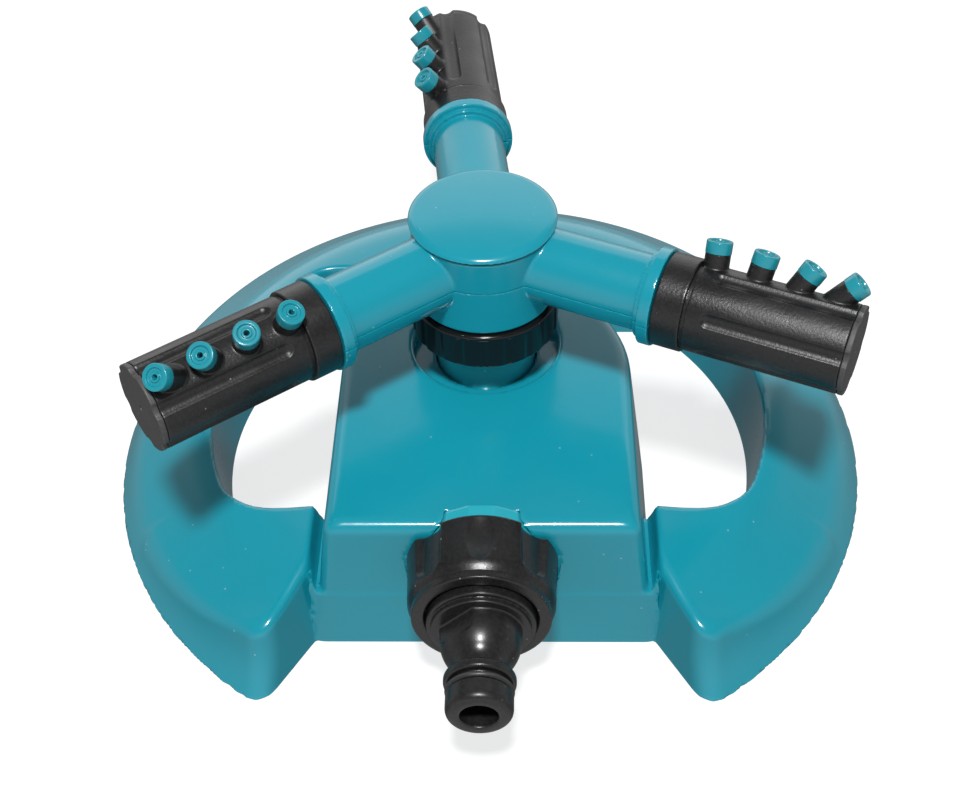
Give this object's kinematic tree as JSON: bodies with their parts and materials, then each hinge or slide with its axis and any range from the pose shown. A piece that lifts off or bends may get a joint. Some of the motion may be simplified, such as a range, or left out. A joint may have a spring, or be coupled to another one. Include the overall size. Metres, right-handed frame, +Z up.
{
  "type": "lawn sprinkler",
  "caption": "Rotary lawn sprinkler with a ring-shaped base, a turning head on radial arms with adjustable nozzle barrels, and a push-fit hose inlet.",
  "frame": {"origin": "on the ground, on the axis the head turns about", "axes": "+Z up along the turning axis, -Y out of the hose inlet, +X to the right when the inlet faces the viewer"},
  "size_m": [0.206, 0.2115, 0.0894],
  "materials": {
    "shell_teal": "gloss moulded ABS",
    "tip_teal": "gloss moulded ABS",
    "barrel_black": "finely grained satin",
    "nut_black": "satin",
    "spigot_black": "satin",
    "pipe_black": "satin",
    "washer_plastic": "natural acetal",
    "seal_rubber": "smooth",
    "screw_steel": "plated",
    "screen_steel": "woven wire"
  },
  "bodies": {
    "base": {"base_shell": "shell_teal", "water_pipe": "shell_teal", "pipe_strap": "pipe_black", "strap_screws": "screw_steel", "bearing_washer": "washer_plastic", "retaining_nut": "nut_black"},
    "rotor": {"hub_lower": "shell_teal", "hub_upper": "shell_teal", "hub_cap": "shell_teal", "hub_screws": "screw_steel", "stem_seal": "seal_rubber"},
    "inlet_spigot": {"hose_spigot": "spigot_black", "spigot_seal": "seal_rubber", "inlet_washer": "seal_rubber", "filter_screen": "screen_steel"},
    "inlet_nut": {"swivel_nut": "nut_black"},
    "nozzle_arm_1": {"barrel_1": "barrel_black", "end_cap_1": "barrel_black", "arm_seal_1": "seal_rubber", "tip_1_1": "tip_teal", "tip_1_2": "tip_teal", "tip_1_3": "tip_teal", "tip_1_4": "tip_teal"},
    "nozzle_arm_2": {"barrel_2": "barrel_black", "end_cap_2": "barrel_black", "arm_seal_2": "seal_rubber", "tip_2_1": "tip_teal", "tip_2_2": "tip_teal", "tip_2_3": "tip_teal", "tip_2_4": "tip_teal"},
    "nozzle_arm_3": {"barrel_3": "barrel_black", "end_cap_3": "barrel_black", "arm_seal_3": "seal_rubber", "tip_3_1": "tip_teal", "tip_3_2": "tip_teal", "tip_3_3": "tip_teal", "tip_3_4": "tip_teal"}
  },
  "joints": [
    {"name": "rotor_spin", "type": "hinge", "parent": "base", "child": "rotor", "pos_m": [0, 0, 0.073], "axis": [0, 0, 1], "continuous": true},
    {"name": "nozzle_arm_1_turn", "type": "hinge", "parent": "rotor", "child": "nozzle_arm_1", "pos_m": [0, 0, 0.073], "axis": [-0.1097, 0.994, 0], "range_deg": [-20, 100]},
    {"name": "nozzle_arm_2_turn", "type": "hinge", "parent": "rotor", "child": "nozzle_arm_2", "pos_m": [0, 0, 0.073], "axis": [-0.8059, -0.592, 0], "range_deg": [-33, 87]},
    {"name": "nozzle_arm_3_turn", "type": "hinge", "parent": "rotor", "child": "nozzle_arm_3", "pos_m": [0, 0, 0.073], "axis": [0.9157, -0.4019, 0], "range_deg": [-32, 88]},
    {"name": "inlet_slide", "type": "slide", "parent": "base", "child": "inlet_spigot", "axis": [0, -1, 0], "range_m": [0, 0.009]},
    {"name": "swivel_nut_turn", "type": "hinge", "parent": "inlet_spigot", "child": "inlet_nut", "pos_m": [0, -0.074, 0.0286], "axis": [0, -1, 0], "range_deg": [0, 1800]}
  ],
  "couplings": [
    {"joint": "swivel_nut_turn", "follows": "inlet_slide", "rad_per_m": 3463.7}
  ]
}
